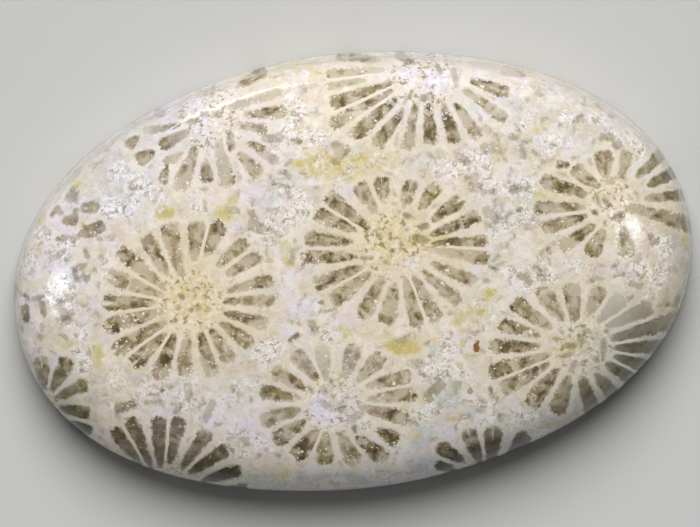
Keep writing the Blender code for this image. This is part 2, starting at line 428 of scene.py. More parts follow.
# %% The loose cells, in squares
CELLS = (
    (53, 215, 58, 209, 2.5, 0.7), (59, 208, 62, 214, 2.5, 0.7), (68, 221, 75, 220, 5, 0.85),
    (77, 211, 77, 218, 2.8, 0.7), (87, 208, 96, 208, 5.5, 0.7), (89, 232, 101, 227, 6.5, 0.85),
    (80, 236, 85, 233, 3.5, 0.8), (60, 238, 76, 238, 2.5, 0.5), (70, 199, 74, 196, 5, 0.35),
    (73, 190, 76, 187, 2.5, 0.5), (87, 250, 89, 257, 3, 0.55), (61, 254, 65, 252, 3.5, 0.45),
    (67, 261, 70, 258, 1.6, 0.6), (78, 268, 84, 266, 3.5, 0.6), (76, 272, 79, 281, 3, 0.55),
    (85, 275, 88, 280, 3, 0.55), (26, 308, 27, 319, 4, 0.95), (26, 295, 29, 299, 2, 0.7),
    (35, 299, 41, 298, 2.5, 0.5), (43, 303, 45, 313, 3, 0.65), (60, 306, 69, 321, 4.5, 0.45),
    (43, 325, 43, 330, 2, 0.5), (16, 286, 15, 298, 2, 0.6), (51, 295, 57, 300, 1.6, 0.6),
    (60, 301, 65, 303, 1.8, 0.7), (68, 299, 73, 300, 1.6, 0.6), (78, 322, 79, 324, 1.6, 0.5),
    (274, 184, 289, 188, 1.6, 0.75), (280, 194, 281, 197, 1.6, 0.5), (288, 192, 290, 198, 2.5, 0.4),
    (252, 213, 255, 220, 3.2, 0.65), (253, 226, 262, 229, 5.5, 0.45), (265, 228, 268, 229, 1.8, 0.6),
    (280, 172, 285, 173, 3, 0.65), (287, 165, 291, 162, 2.5, 0.5), (346, 148, 347, 153, 2.8, 0.65),
    (334, 145, 341, 148, 4, 0.4), (337, 154, 340, 157, 4, 0.25), (266, 139, 281, 139, 4.5, 0.35),
    (262, 153, 276, 161, 4.5, 0.3), (296, 141, 300, 142, 3, 0.45), (333, 162, 338, 163, 3, 0.4),
    (302, 212, 309, 215, 1.6, 0.5), (294, 240, 295, 242, 1.6, 0.6), (272, 238, 276, 244, 2, 0.35),
    (312, 322, 316, 332, 3.5, 0.4), (291, 340, 298, 335, 2.6, 0.85), (321, 302, 322, 302, 2.3, 0.9),
    (321, 311, 335, 309, 1.8, 0.6), (299, 322, 300, 324, 1.6, 0.5), (311, 389, 313, 392, 2, 0.45),
    (301, 267, 302, 266, 2.5, 0.75), (232, 387, 234, 390, 2, 0.45), (251, 397, 252, 400, 2, 0.45),
    (484, 148, 496, 150, 5, 0.35), (487, 212, 495, 218, 6, 0.35), (521, 146, 522, 157, 3, 0.3),
    (510, 137, 516, 140, 3, 0.65), (518, 129, 520, 133, 2, 0.6), (524, 143, 530, 141, 1.6, 0.6),
    (550, 145, 555, 146, 1.6, 0.55), (532, 152, 537, 155, 2.5, 0.5), (458, 157, 467, 163, 4, 0.35),
    (464, 162, 466, 164, 1.6, 0.55), (436, 173, 438, 176, 2, 0.5), (470, 185, 479, 187, 3, 0.55),
    (470, 190, 484, 193, 3, 0.3), (491, 190, 494, 193, 2.5, 0.35), (511, 191, 520, 189, 3.5, 0.5),
    (525, 190, 528, 187, 2.5, 0.55), (517, 211, 520, 209, 1.9, 0.85), (505, 219, 510, 212, 2, 0.5),
    (507, 224, 511, 225, 1.6, 0.6), (527, 222, 533, 218, 1.6, 0.45), (493, 260, 498, 256, 1.6, 0.45),
    (489, 266, 496, 270, 1.6, 0.75), (547, 249, 549, 252, 2.5, 0.55), (520, 276, 527, 281, 4, 0.7),
    (524, 270, 527, 272, 2, 0.5), (534, 266, 538, 268, 3, 0.55), (539, 274, 542, 278, 3, 0.55),
    (119, 408, 132, 405, 4.5, 0.7), (155, 384, 159, 388, 1.6, 0.5), (161, 389, 163, 390, 2, 0.8),
    (146, 402, 155, 402, 2, 0.5), (107, 402, 109, 405, 1.6, 0.5), (188, 385, 190, 395, 4, 0.35),
    (182, 404, 176, 412, 2.5, 0.35), (213, 403, 206, 418, 4, 0.4), (228, 445, 233, 450, 2, 0.45),
    (440, 384, 428, 396, 5.5, 0.6), (410, 363, 421, 363, 4.5, 0.2), (489, 386, 491, 393, 1.6, 0.75),
    (491, 396, 497, 399, 2.2, 0.5), (460, 417, 468, 415, 3, 0.4), (469, 391, 470, 391, 2.6, 0.7),
    (421, 374, 424, 376, 1.6, 0.6), (404, 336, 410, 333, 1.8, 0.4), (418, 326, 419, 330, 1.6, 0.5),
    (472, 332, 475, 335, 1.6, 0.65), (410, 421, 417, 424, 2.5, 0.4), (498, 414, 500, 419, 2.5, 0.4),
    (649, 234, 650, 238, 2.4, 0.65), (649, 245, 656, 241, 2.4, 0.6), (636, 273, 640, 277, 2.2, 0.6),
    (629, 283, 639, 287, 2.6, 0.5), (677, 299, 675, 305, 3.5, 0.5), (666, 305, 667, 305, 1.8, 0.7),
    (651, 298, 652, 298, 1.8, 0.5), (626, 301, 631, 297, 1.8, 0.7), (611, 268, 617, 264, 1.6, 0.5),
    (614, 276, 623, 274, 2, 0.5), (590, 281, 592, 281, 1.6, 0.75), (656, 285, 659, 284, 1.6, 0.5),
    (601, 138, 610, 138, 4, 0.5), (614, 145, 618, 145, 4, 0.5), (574, 122, 580, 116, 2, 0.6),
    (594, 120, 595, 120, 3.2, 0.6), (502, 71, 520, 74, 5.0, 0.2), (206, 91, 206, 94, 3, 0.3),
    (213, 88, 213, 95, 2.5, 0.4), (158, 113, 162, 114, 4, 0.25), (453, 71, 456, 86, 3, 0.35),
    (423, 99, 428, 98, 4, 0.5), (412, 92, 404, 104, 1.8, 0.55), (437, 66, 440, 74, 2, 0.5),
    (609, 181, 611, 182, 3, 0.55), (594, 193, 598, 206, 2, 0.5), (603, 200, 607, 206, 2.2, 0.6),
)
MIDDLE_CELLS = (
    (415, 238, 428, 242, 4, 0.5), (420, 228, 427, 226, 3, 0.65), (405, 216, 408, 217, 3, 0.55),
    (361, 258, 371, 258, 2, 0.6), (377, 236, 380, 238, 2.4, 0.6), (391, 251, 393, 251, 2.2, 0.65),
    (406, 229, 407, 230, 1.8, 0.6), (400, 243, 402, 246, 1.8, 0.5), (385, 262, 386, 263, 2, 0.5),
    (325, 404, 327, 405, 4, 0.35), (323, 389, 325, 392, 4, 0.2), (339, 408, 341, 411, 2.5, 0.65),
    (354, 427, 356, 431, 2.5, 0.7), (350, 420, 362, 412, 4, 0.2), (310, 387, 313, 392, 2, 0.3),
    (566, 345, 572, 346, 3.5, 0.7), (579, 336, 581, 342, 3, 0.6), (602, 340, 603, 352, 3, 0.5),
    (562, 356, 570, 354, 2.5, 0.7), (553, 338, 556, 340, 2, 0.5), (593, 357, 596, 362, 2.5, 0.6),
    (574, 362, 570, 372, 3, 0.45), (560, 330, 562, 332, 2, 0.5), (585, 329, 588, 331, 2, 0.5),
    (182, 296, 184, 298, 2.2, 0.6), (198, 306, 200, 308, 2.2, 0.6), (190, 310, 192, 311, 2, 0.5),
    (194, 290, 196, 291, 2, 0.5), (205, 296, 207, 297, 2, 0.5), (178, 308, 180, 309, 2, 0.5),
    (203, 115, 207, 114, 3, 0.55), (217, 115, 220, 116, 2.5, 0.5), (190, 122, 195, 122, 2.5, 0.5),
)
print(len(CELLS) + len(MIDDLE_CELLS), "loose cells")

# %% [markdown]
# ## Stains, froth and casts
#
# The mineral between the flowers isn't one colour. Iron has stained it yellow in spots, and
# rusty in one. Some of it is chalky and faintly lilac, and some is clearer and bluish. Each
# spot is listed as a soft ellipse: its middle, its half width and half height, and how strong
# it is. Ellipses stay smooth close up, and each can be moved by itself.

# %% Stains and clouds, in squares
YELLOW_STAINS = (
    (166, 213, 10, 8, 1.2), (225, 213, 9, 7, 1.3), (233, 202, 7, 5, 0.9), (229, 219, 3, 4, 1.0),
    (320, 157, 12, 6, 0.95), (300, 163, 10, 5, 0.85), (328, 169, 32, 13, 0.78), (304, 69, 17, 8, 0.6),
    (368, 163, 28, 11, 0.72), (390, 160, 16, 8, 0.45), (292, 111, 5, 9, 0.7), (41, 220, 5, 7, 0.6),
    (487, 226, 4, 4, 1.0), (685, 239, 5, 7, 0.95), (402, 346, 18, 8, 1.2), (416, 349, 10, 6, 0.9),
    (487, 293, 8, 6, 0.9), (457, 322, 8, 6, 0.9), (484, 312, 5, 7, 1.05), (476, 321, 8, 4, 0.7),
    (468, 310, 28, 20, 0.5), (540, 128, 12, 10, 0.6), (546, 195, 22, 14, 0.7), (485, 132, 9, 6, 0.7),
    (438, 370, 5, 4, 0.6), (462, 346, 3, 5, 0.7), (460, 362, 7, 10, 0.45), (491, 404, 4, 7, 0.6),
    (652, 269, 5, 5, 1.0), (680, 300, 4, 6, 0.6), (90, 358, 18, 22, 0.6), (70, 345, 14, 10, 0.5),
    (284, 474, 7, 6, 0.8), (270, 334, 8, 7, 0.6), (345, 334, 3, 4, 0.9), (350, 328, 14, 6, 0.5),
    (417, 435, 4, 4, 0.7), (550, 424, 6, 4, 0.6), (452, 418, 6, 4, 0.8), (286, 246, 7, 8, 0.7),
    (290, 261, 9, 8, 0.7), (428, 240, 18, 8, 1.4), (393, 245, 26, 26, 0.5), (191, 301, 26, 20, 0.65),
    (287, 77, 9, 16, 0.4), (298, 134, 12, 14, 0.45), (566, 347, 18, 12, 0.55), (585, 345, 16, 14, 0.3),
    (205, 116, 14, 12, 0.35), (540, 178, 10, 8, 0.45), (603, 139, 8, 6, 0.5), (128, 372, 8, 8, 0.4),
    (300, 142, 6, 6, 0.5), (92, 270, 5, 5, 0.5), (78, 183, 6, 5, 0.5), (495, 126, 10, 8, 0.4),
)
LILAC_CLOUDS = (
    (268, 196, 14, 9, 1.0), (215, 165, 24, 30, 0.4), (60, 222, 14, 9, 0.8), (75, 206, 10, 4, 0.8),
    (462, 348, 12, 12, 0.6), (512, 183, 12, 9, 0.9), (300, 345, 22, 20, 0.4), (333, 408, 28, 24, 1.0),
    (240, 425, 50, 26, 0.5), (165, 440, 30, 30, 0.7), (510, 432, 30, 12, 0.6), (600, 210, 16, 10, 0.5),
    (422, 72, 30, 22, 0.6), (190, 118, 56, 26, 0.5), (300, 300, 20, 14, 0.4), (411, 244, 4, 12, 1.0),
    (482, 338, 4, 14, 1.0), (415, 262, 12, 8, 0.7), (65, 270, 22, 16, 0.7), (120, 375, 8, 6, 0.8),
    (180, 395, 8, 9, 0.7), (236, 232, 12, 10, 0.6), (590, 345, 7, 12, 0.8), (442, 400, 6, 5, 0.9),
    (540, 205, 20, 5, 0.6), (612, 340, 8, 14, 0.4), (150, 296, 12, 4, 0.5), (345, 192, 12, 6, 0.5),
    (305, 366, 10, 14, 0.9), (323, 360, 9, 14, 0.9), (350, 360, 9, 16, 0.9),
)
BLUE_CLOUDS = (
    (510, 232, 14, 9, 0.7), (510, 200, 20, 40, 0.3), (440, 348, 12, 9, 1.0), (455, 385, 26, 18, 0.6),
    (500, 110, 26, 30, 0.3), (610, 300, 20, 14, 0.6), (620, 380, 40, 30, 0.6), (30, 270, 14, 60, 0.5),
    (300, 482, 130, 14, 0.8), (280, 270, 14, 40, 0.3), (120, 240, 24, 18, 0.4), (490, 270, 14, 12, 0.6),
    (670, 275, 16, 20, 0.5), (455, 428, 56, 24, 0.7), (385, 360, 10, 8, 0.4), (400, 365, 12, 6, 0.7),
    (420, 470, 60, 24, 0.6), (540, 440, 40, 20, 0.5),
)
RUSTY_SPOTS = (
    (475.5, 347, 3.6, 6.5, 1.1), (477, 340, 2.2, 3.0, 0.7),
)
print(len(YELLOW_STAINS), "stains,", len(LILAC_CLOUDS) + len(BLUE_CLOUDS), "clouds")

# %% [markdown]
# In places, the thin skeleton between the cups has turned to a froth of white grains. Only the
# places are listed. The froth itself is far too fine for that, and is left to the material.

# %% Froth, in squares
FROTH = (
    (302, 208, 12, 14, 1.0), (280, 222, 20, 20, 0.7), (345, 165, 34, 12, 0.3), (305, 142, 14, 10, 0.8),
    (460, 165, 30, 14, 0.6), (482, 190, 20, 12, 0.6), (520, 190, 20, 10, 0.7), (515, 215, 22, 12, 0.7),
    (490, 240, 10, 14, 0.7), (545, 140, 26, 18, 0.6), (575, 122, 22, 12, 0.6), (530, 275, 24, 14, 0.7),
    (575, 268, 18, 10, 0.7), (650, 275, 26, 22, 0.6), (665, 245, 20, 20, 0.4), (440, 368, 22, 14, 0.7),
    (450, 345, 14, 10, 0.6), (430, 412, 20, 12, 0.45), (490, 415, 22, 12, 0.6), (530, 420, 24, 12, 0.6),
    (150, 400, 20, 16, 0.6), (190, 392, 14, 16, 0.45), (110, 385, 22, 18, 0.4), (85, 360, 22, 18, 0.5),
    (245, 390, 16, 16, 0.6), (240, 440, 30, 16, 0.4), (268, 352, 14, 14, 0.7), (120, 200, 24, 16, 0.7),
    (55, 240, 20, 24, 0.5), (42, 265, 20, 20, 0.6), (62, 292, 20, 16, 0.8), (95, 330, 16, 14, 0.6),
    (170, 200, 26, 12, 0.4), (130, 172, 18, 12, 0.6), (292, 115, 12, 18, 0.7), (380, 165, 24, 10, 0.25),
    (635, 150, 14, 12, 0.6), (480, 305, 16, 8, 0.4), (330, 335, 16, 8, 0.4), (105, 262, 8, 14, 0.5),
)
print(len(FROTH), "frothy places")

# %% [markdown]
# Wider parts of the stone are greyer than the rest, and the same patches paint shade
# towards its edges. Iron gives whole cups a golden cast, and others have a cold or a greenish
# one. Along the bottom and the right edge, painted shadow makes the chambers' filling nearly black.

# %% Casts and shadows, in squares
# greyer mineral, and painted shade towards the stone's edges
GREY_AND_SHADE_PATCHES = (
    (470, 470, 60, 18, 0.7), (165, 472, 60, 22, 1.2), (595, 408, 34, 26, 1.5), (145, 125, 50, 30, 0.7),
    (590, 118, 70, 38, 0.55), (660, 165, 38, 44, 0.8), (105, 175, 44, 40, 0.65), (560, 425, 30, 16, 1.4),
    (645, 370, 65, 65, 1.2), (580, 432, 60, 32, 1.1), (54, 408, 40, 40, 1.3), (330, 482, 110, 14, 0.5),
    (690, 262, 34, 80, 1.2), (420, 50, 150, 16, 0.4), (14, 320, 12, 40, 0.2), (410, 135, 30, 30, 0.35),
)
WARM_PATCHES = (
    (188, 300, 62, 58, 1.0), (395, 240, 62, 48, 1.0), (375, 165, 50, 24, 0.6), (325, 165, 30, 16, 0.6),
    (610, 200, 70, 44, 0.5), (682, 230, 36, 84, 1.1), (255, 76, 24, 10, 0.8), (560, 345, 40, 26, 0.4),
    (165, 455, 60, 34, 0.9), (110, 415, 40, 20, 0.4), (403, 346, 20, 12, 0.9),
)
COLD_PATCHES = (
    (50, 275, 50, 90, 0.75), (105, 190, 60, 50, 0.8), (195, 120, 80, 55, 1.1), (280, 90, 40, 30, 0.4),
    (435, 80, 70, 40, 0.9), (530, 200, 40, 40, 0.5), (510, 235, 30, 30, 0.3), (235, 405, 50, 50, 0.9),
    (170, 400, 40, 40, 0.4), (360, 400, 50, 40, 0.2), (540, 130, 60, 44, 0.5), (410, 470, 60, 26, 0.9),
    (620, 340, 30, 40, 0.4), (460, 425, 50, 24, 0.5), (640, 235, 30, 20, 0.3), (40, 365, 26, 26, 0.9),
    (430, 165, 24, 20, 0.5), (480, 100, 40, 44, 0.8),
)
GREEN_PATCHES = (
    (480, 405, 90, 60, 0.55), (575, 365, 80, 60, 0.6), (530, 230, 60, 60, 0.35), (420, 472, 80, 26, 1.1),
    (540, 440, 60, 26, 1.0), (570, 160, 50, 24, 0.5), (60, 275, 50, 50, 0.25), (395, 240, 50, 40, 0.3),
    (130, 230, 40, 40, 0.4),
)
# painted shadow along the bottom and the right edge, where the light falls away
SHADOWS = (
    (520, 455, 66, 24, 1.0), (446, 467, 26, 12, 1.1), (640, 375, 44, 56, 0.5), (600, 400, 30, 24, 0.4),
    (225, 482, 50, 16, 1.0), (165, 462, 80, 46, 0.5), (82, 430, 26, 16, 0.9), (66, 410, 16, 12, 0.4),
    (684, 175, 18, 22, 0.9), (120, 455, 30, 20, 0.5),
)
print(len(GREY_AND_SHADE_PATCHES + WARM_PATCHES + COLD_PATCHES + GREEN_PATCHES), "casts")

# %% [markdown]
# ## Carry the drawing onto the stone
#
# An image would have been the quick way to mark the stone, but it would blur close up. What is
# stored instead is, for every point of the mesh, how far it is from the nearest chamber wall.
# The material can then cut a crisp edge anywhere along that distance, and make it ragged.

# %% Distances to a wedge
NARROW_END = 0.42  # how wide a chamber starts, as a part of its full width
WIDENING = 1.25  # a chamber has its full width at 1 / 1.25 of its length
OPENING = 0.8  # exponent of how a chamber widens: below 1, it widens early
SQUARE_ENDS = 2.7  # exponent of a chamber's corners: 2 is round, more is squarer
FORK_WIDTH = 1.3  # squares to each side that a splitting spike is wide at the chamber's end
FORK_DEPTH = 11.0  # squares in from there, where the spike is thinner by the taper
FORK_TAPER = 1.5
END_OVERRUN = 1.2  # squares that the broken outer ends reach past the listed end


def along_and_across(x, y, ends):
    """Squares along and across a line from its first end, and the line's length."""
    start_x, start_y, end_x, end_y = ends
    length = math.hypot(end_x - start_x, end_y - start_y)
    ahead_x, ahead_y = (end_x - start_x) / length, (end_y - start_y) / length
    along = (x - start_x) * ahead_x + (y - start_y) * ahead_y
    across = -(x - start_x) * ahead_y + (y - start_y) * ahead_x
    return along, across, length


def wedge_distance(x, y, wedge):
    """How many squares outside a wedge each point is, below 0 inside it.

    Three more arrays say how many squares along the wedge the point is, how far across it,
    where its sides are at -1 and 1, and how dark its filling is there.
    """
    along, across, length = along_and_across(x, y, wedge[:4])
    wide, dark_start, dark_end, forked = wedge[4:]
    opening = np.clip(along / length * WIDENING, 0, 1) ** OPENING
    half_width = wide * (NARROW_END + (1 - NARROW_END) * opening)
    past_end = np.maximum(np.maximum(along - (length + END_OVERRUN - half_width), -along), 0)
    corner = (past_end**SQUARE_ENDS + np.abs(across) ** SQUARE_ENDS) ** (1 / SQUARE_ENDS)
    distance = corner - half_width
    if forked:
        spike = FORK_WIDTH + (along - length) / FORK_DEPTH * FORK_TAPER
        distance = np.maximum(distance, spike - np.abs(across))
    darkness = dark_start + (dark_end - dark_start) * np.clip(along / length, 0, 1)
    return distance, along, across / half_width, darkness


def capsule_distance(x, y, cell):
    """How many squares outside a capsule each point is, below 0 inside it."""
    along, across, length = along_and_across(x, y, cell[:4])
    past_end = np.maximum(np.maximum(along - length, -along), 0)
    return np.hypot(past_end, across) - cell[4]

# %% [markdown]
# Every point of the stone is then asked which chamber is nearest, and what that chamber is like
# there. The second nearest matters as well: half way between the two lies the middle of a
# septum.

# %% The nearest chamber
SQUARES_PER_MM = MM / SQUARE
FAR = 60.0  # squares; anything further counts as this far
BOW = 2.0  # squares that a bar across a chamber hangs back at its sides
BOW_LIMIT = 1.5  # half widths across, where it bows no further
NUMBER_STEP = 0.37  # between two chambers' numbers, which give each its own streaks
print(SQUARES_PER_MM, "squares a millimetre")


def nearest_chamber(x, y):
    """What each point has to know of the nearest chamber, and where it is between that and the next."""
    near = {name: np.zeros(len(x)) for name in ("darkness", "run", "aside", "number")}
    near["distance"] = np.full(len(x), FAR)
    next_distance = np.full(len(x), FAR)
    number = 0.0
    for _, chambers in CUPS.values():
        for wedge in chambers:
            number += NUMBER_STEP
            distance, along, aside, darkness = wedge_distance(x, y, wedge)
            bowed = along + BOW * np.clip(aside, -BOW_LIMIT, BOW_LIMIT) ** 2
            nearer = distance < near["distance"]
            second = ~nearer & (distance < next_distance)
            next_distance = np.where(second, distance, next_distance)
            next_distance = np.where(nearer, near["distance"], next_distance)
            found = {"distance": distance, "darkness": darkness, "run": bowed, "aside": aside}
            found["number"] = number
            for name, value in found.items():
                near[name] = np.where(nearer, value, near[name])
    # Positive on one side of a septum and negative on the other, so that 0 runs along its middle
    near["septum"] = (next_distance - near["distance"]) * np.sign(near["aside"]) / SQUARES_PER_MM
    near["distance"] /= SQUARES_PER_MM
    near["run"] /= SQUARES_PER_MM
    return near


# %% [markdown]
# The rest is simpler: the nearest loose cell and how dark it is, how far out in its cup a point
# lies, and how strongly the soft ellipses of one kind cover it.

# %% The nearest cell, the cup's middle and the soft ellipses
OUT_OF_CUP = 3  # in cup radii; anything further counts as this far
FADED_AT = 1.5  # half widths out, where a soft ellipse has faded away


def nearest_cell(x, y):
    """Millimetres from each point to the nearest loose cell, and how dark that cell is."""
    best = np.full(len(x), FAR)
    darkness = np.zeros(len(x))
    for cell in CELLS + MIDDLE_CELLS:
        distance = capsule_distance(x, y, cell)
        darkness = np.where(distance < best, cell[5], darkness)
        best = np.minimum(best, distance)
    return best / SQUARES_PER_MM, darkness


def cup_middle(x, y):
    """How far out from the nearest cup's middle, where 1 is where its chambers start."""
    best = np.full(len(x), FAR)
    for (middle_x, middle_y), chambers in CUPS.values():
        starts = [math.hypot(w[0] - middle_x, w[1] - middle_y) for w in chambers]
        ring = sum(starts) / len(starts)
        best = np.minimum(best, np.hypot(x - middle_x, y - middle_y) / ring)
    return np.minimum(best, OUT_OF_CUP)


def spots(x, y, ellipses):
    """How strongly soft ellipses cover each point: in full to half way out, then less and less."""
    strongest = np.zeros(len(x))
    for middle_x, middle_y, half_x, half_y, strength in ellipses:
        reach = np.hypot((x - middle_x) / half_x, (y - middle_y) / half_y)
        strongest = np.maximum(strongest, strength * np.clip(FADED_AT - reach, 0, 1))
    return strongest


# %% [markdown]
# A mesh can carry named layers of numbers, one value for each point. A layer of vectors holds
# three numbers at once, so seven layers take all that the material has to know.

# %% Store it in the mesh
def store(mesh, name, first, second=0.0, third=0.0):
    """Keeps three numbers a point, under one name, for the material to read."""
    layer = mesh.attributes.new(name, "FLOAT_VECTOR", "POINT")
    columns = [np.broadcast_to(part, len(mesh.vertices)) for part in (first, second, third)]
    layer.data.foreach_set("vector", np.stack(columns, axis=1).astype(np.float32).ravel())


sheet_x, sheet_y = on_sheet(stone_points)
chamber = nearest_chamber(sheet_x, sheet_y)
cell_distance, cell_darkness = nearest_cell(sheet_x, sheet_y)
on_back = slab_points[:, 2] < TOUCHING


def cover(ellipses):
    return spots(sheet_x, sheet_y, ellipses)


store(stone.data, "chamber", chamber["distance"], chamber["darkness"], chamber["run"])
store(stone.data, "cell", cell_distance, cell_darkness, chamber["number"])
store(stone.data, "septum", chamber["septum"], chamber["aside"], cover(FROTH))
store(stone.data, "cloud", cover(YELLOW_STAINS), cover(LILAC_CLOUDS), cover(BLUE_CLOUDS))
store(stone.data, "tone", cover(WARM_PATCHES), cover(COLD_PATCHES), cover(SHADOWS))
store(stone.data, "place", cup_middle(sheet_x, sheet_y), cover(RUSTY_SPOTS), on_back)
store(stone.data, "grey_shade_green", cover(GREY_AND_SHADE_PATCHES), cover(GREEN_PATCHES))
print(f"{np.mean(chamber['distance'] < 0):.0%} of the points are in a chamber")

# %% [markdown]
# ## Polishing relief
#
# The chambers' filling is a little softer than the septa, so polishing leaves it a hair lower:
# about a hundredth of a millimetre, enough to catch the light along the septa. It is moved in
# the mesh itself, so the stone's shape has it too and not only its shading.

# %% Sink the chambers
RELIEF = 0.012 * MM
RELIEF_EDGE = 0.10  # mm over which the surface drops


def sunk(mesh, points):
    """The points moved in along their normals, wherever they lie in a chamber or a cell."""
    normals = np.empty(len(points) * 3)
    mesh.vertex_normals.foreach_get("vector", normals)
    nearest = np.minimum(chamber["distance"], cell_distance)
    drop = np.clip(0.5 - nearest / RELIEF_EDGE, 0, 1)
    return points - normals.reshape(-1, 3) * (drop * RELIEF * ~on_back)[:, None]


stone.data.vertices.foreach_set("co", sunk(stone.data, stone_points).ravel())
stone.data.update()
nothing_selected()
stone.select_set(True)
bpy.context.view_layer.objects.active = stone
bpy.ops.object.shade_smooth()
print("deepest chamber", RELIEF / MM, "mm")

# %% [markdown]
# ## Painting with nodes
#
# A material is a graph of nodes. It could be wired by hand in the shader editor, but this one
# has nearly three hundred nodes. Written out with a few helpers, each finish takes a line or
# two and can be read again later. The first helpers put a node in and join it up.


# %% Put a node in
def fill(tree, socket, value):
    """Sets a socket to a value, or joins it to another node's output."""
    if isinstance(value, bpy.types.NodeSocket):
        tree.links.new(value, socket)
    elif value is not None:
        socket.default_value = value


def put(tree, kind, inputs=(), **settings):
    """Adds a node with its settings. inputs is a list in socket order, or a dict by socket name."""
    node = tree.nodes.new(kind)
    for name, value in settings.items():
        setattr(node, name, value)
    pairs = inputs.items() if isinstance(inputs, dict) else enumerate(inputs)
    for key, value in pairs:
        fill(tree, node.inputs[key], value)
    return node


def maths(tree, operation, first, second=None, third=None):
    """One step of arithmetic, with one to three values."""
    kind = "ShaderNodeMath"
    return put(tree, kind, (first, second, third), operation=operation).outputs[0]


# %% [markdown]
# Four more do the painting. One turns a range of values into a mask from 0 to 1, one paints a
# colour over another by such a mask, and one gives a cloudy noise. Colours are chosen as they
# look on a screen, but light is added up in linear values, so the last one converts them.


# %% Masks, blends, noise and colours
def mask(tree, value, start, end):
    """0 where value is at start, 1 where it is at end, and smooth between."""
    inputs = {"Value": value, "From Min": start, "From Max": end}
    node = put(tree, "ShaderNodeMapRange", inputs, interpolation_type="SMOOTHSTEP")
    return node.outputs[0]


def blend(tree, amount, first, second, way="MIX"):
    """Paints the second colour over the first by an amount from 0 to 1."""
    node = put(tree, "ShaderNodeMix", data_type="RGBA", blend_type=way)
    fill(tree, node.inputs[0], amount)
    fill(tree, node.inputs[6], first)
    fill(tree, node.inputs[7], second)
    return node.outputs[2]


def noise(tree, position, scale, detail=2.0, distortion=0.0):
    """Cloudy noise, about 0.5 in the middle, with its own number of bumps a millimetre."""
    inputs = {"Vector": position, "Scale": scale, "Detail": detail, "Distortion": distortion}
    return put(tree, "ShaderNodeTexNoise", inputs).outputs[0]


def paint(red, green, blue):
    """A screen colour, 0 to 255 each, as the linear colour that nodes work in."""
    def linear(part):
        part /= 255
        return part / 12.92 if part <= 0.04045 else ((part + 0.055) / 1.055) ** 2.4

    return (linear(red), linear(green), linear(blue), 1.0)


print(f"half bright on a screen is {paint(128, 128, 128)[0]:.2f} in linear light")

# %% [markdown]
# A set of nodes that is used more than once is made as a group, with named inputs and outputs.
# A group also lets one texture be thought through by itself, as the two below are.

# %% Node groups
FLOAT, VECTOR = "NodeSocketFloat", "NodeSocketVector"


def new_group(name, inputs, outputs):
    """An empty node group with named float or vector inputs and outputs."""
    group = bpy.data.node_groups.new(name, "ShaderNodeTree")
    for label, kind in inputs:
        group.interface.new_socket(label, in_out="INPUT", socket_type=kind)
    for label, kind in outputs:
        group.interface.new_socket(label, in_out="OUTPUT", socket_type=kind)
    start = group.nodes.new("NodeGroupInput")
    end = group.nodes.new("NodeGroupOutput")
    return group, start.outputs, end.inputs


def use_group(tree, group, **inputs):
    """Puts a node group in, and gives back its outputs, which are found by name."""
    node = put(tree, "ShaderNodeGroup", node_tree=group)
    for name, value in inputs.items():
        fill(tree, node.inputs[name], value)
    return node.outputs


# %% [markdown]
# ### Specks
#
# The stone is full of grains less than a tenth of a millimetre wide. They could be modelled as
# a great many small pieces, but a Voronoi texture does it for nothing: it scatters points
# through space, and the distance to the nearest one makes a grain. Each point also carries a
# random colour, whose red decides whether its grain is there at all and whose green decides how
# big it is, from 0.55 to 1.45 times the radius asked for.


# %% The speck group
def make_specks():
    group, given, made = new_group(
        "specks",
        (("Position", VECTOR), ("Spacing", FLOAT), ("Radius", FLOAT), ("Share", FLOAT)),
        (("Mask", FLOAT),),
    )
    scale = maths(group, "DIVIDE", 1.0, given["Spacing"])
    cells = put(group, "ShaderNodeTexVoronoi", {"Vector": given["Position"], "Scale": scale})
    distance = maths(group, "MULTIPLY", cells.outputs["Distance"], given["Spacing"])
    random_parts = put(group, "ShaderNodeSeparateColor", (cells.outputs["Color"],)).outputs
    size = maths(group, "MULTIPLY_ADD", random_parts[1], 0.9, 0.55)
    radius = maths(group, "MULTIPLY", size, given["Radius"])
    half_radius = maths(group, "MULTIPLY", radius, 0.55)
    grain = mask(group, distance, radius, half_radius)
    kept = maths(group, "LESS_THAN", random_parts[0], given["Share"])
    fill(group, made["Mask"], maths(group, "MULTIPLY", grain, kept))
    return group


specks = make_specks()
print("group", specks.name)

# %% [markdown]
# ### Patches
#
# Between the cups the stone is a patchwork of clear, milky and tinted mineral, each patch about
# a millimetre across. A Voronoi texture gives the patches, and three random numbers for each.
# Its smooth kind lets a patch run into the next, and its position is first pushed about by a
# noise, so that no patch has a straight side.


# %% The patch group
def make_patches():
    group, given, made = new_group(
        "patches",
        (("Position", VECTOR), ("Scale", FLOAT), ("Wander", FLOAT)),
        (("First", FLOAT), ("Second", FLOAT), ("Third", FLOAT)),
    )
    inputs = {"Vector": given["Position"], "Scale": 1.3, "Detail": 4.0}
    push = put(group, "ShaderNodeTexNoise", inputs).outputs[1]
    centred = put(group, "ShaderNodeVectorMath", (push, (-0.5, -0.5, -0.5))).outputs[0]
    scaled = put(group, "ShaderNodeVectorMath", {0: centred, 3: given["Wander"]}, operation="SCALE")
    moved = put(group, "ShaderNodeVectorMath", (given["Position"], scaled.outputs[0])).outputs[0]
    inputs = {"Vector": moved, "Scale": given["Scale"], "Smoothness": 0.7}
    cells = put(group, "ShaderNodeTexVoronoi", inputs, feature="SMOOTH_F1")
    parts = put(group, "ShaderNodeSeparateColor", (cells.outputs["Color"],)).outputs
    for index, name in enumerate(("First", "Second", "Third")):
        fill(group, made[name], parts[index])
    return group


patches = make_patches()
print("group", patches.name)

# %% [markdown]
# ## The stone's material
#
# The colours are laid down as they lie in the stone. First comes the clouded mineral between
# the cups, then stains and froth, then the cups' own pale septa and spongy middles, white
# grains over all of it, and last the dark chambers and loose cells with their ragged edges.

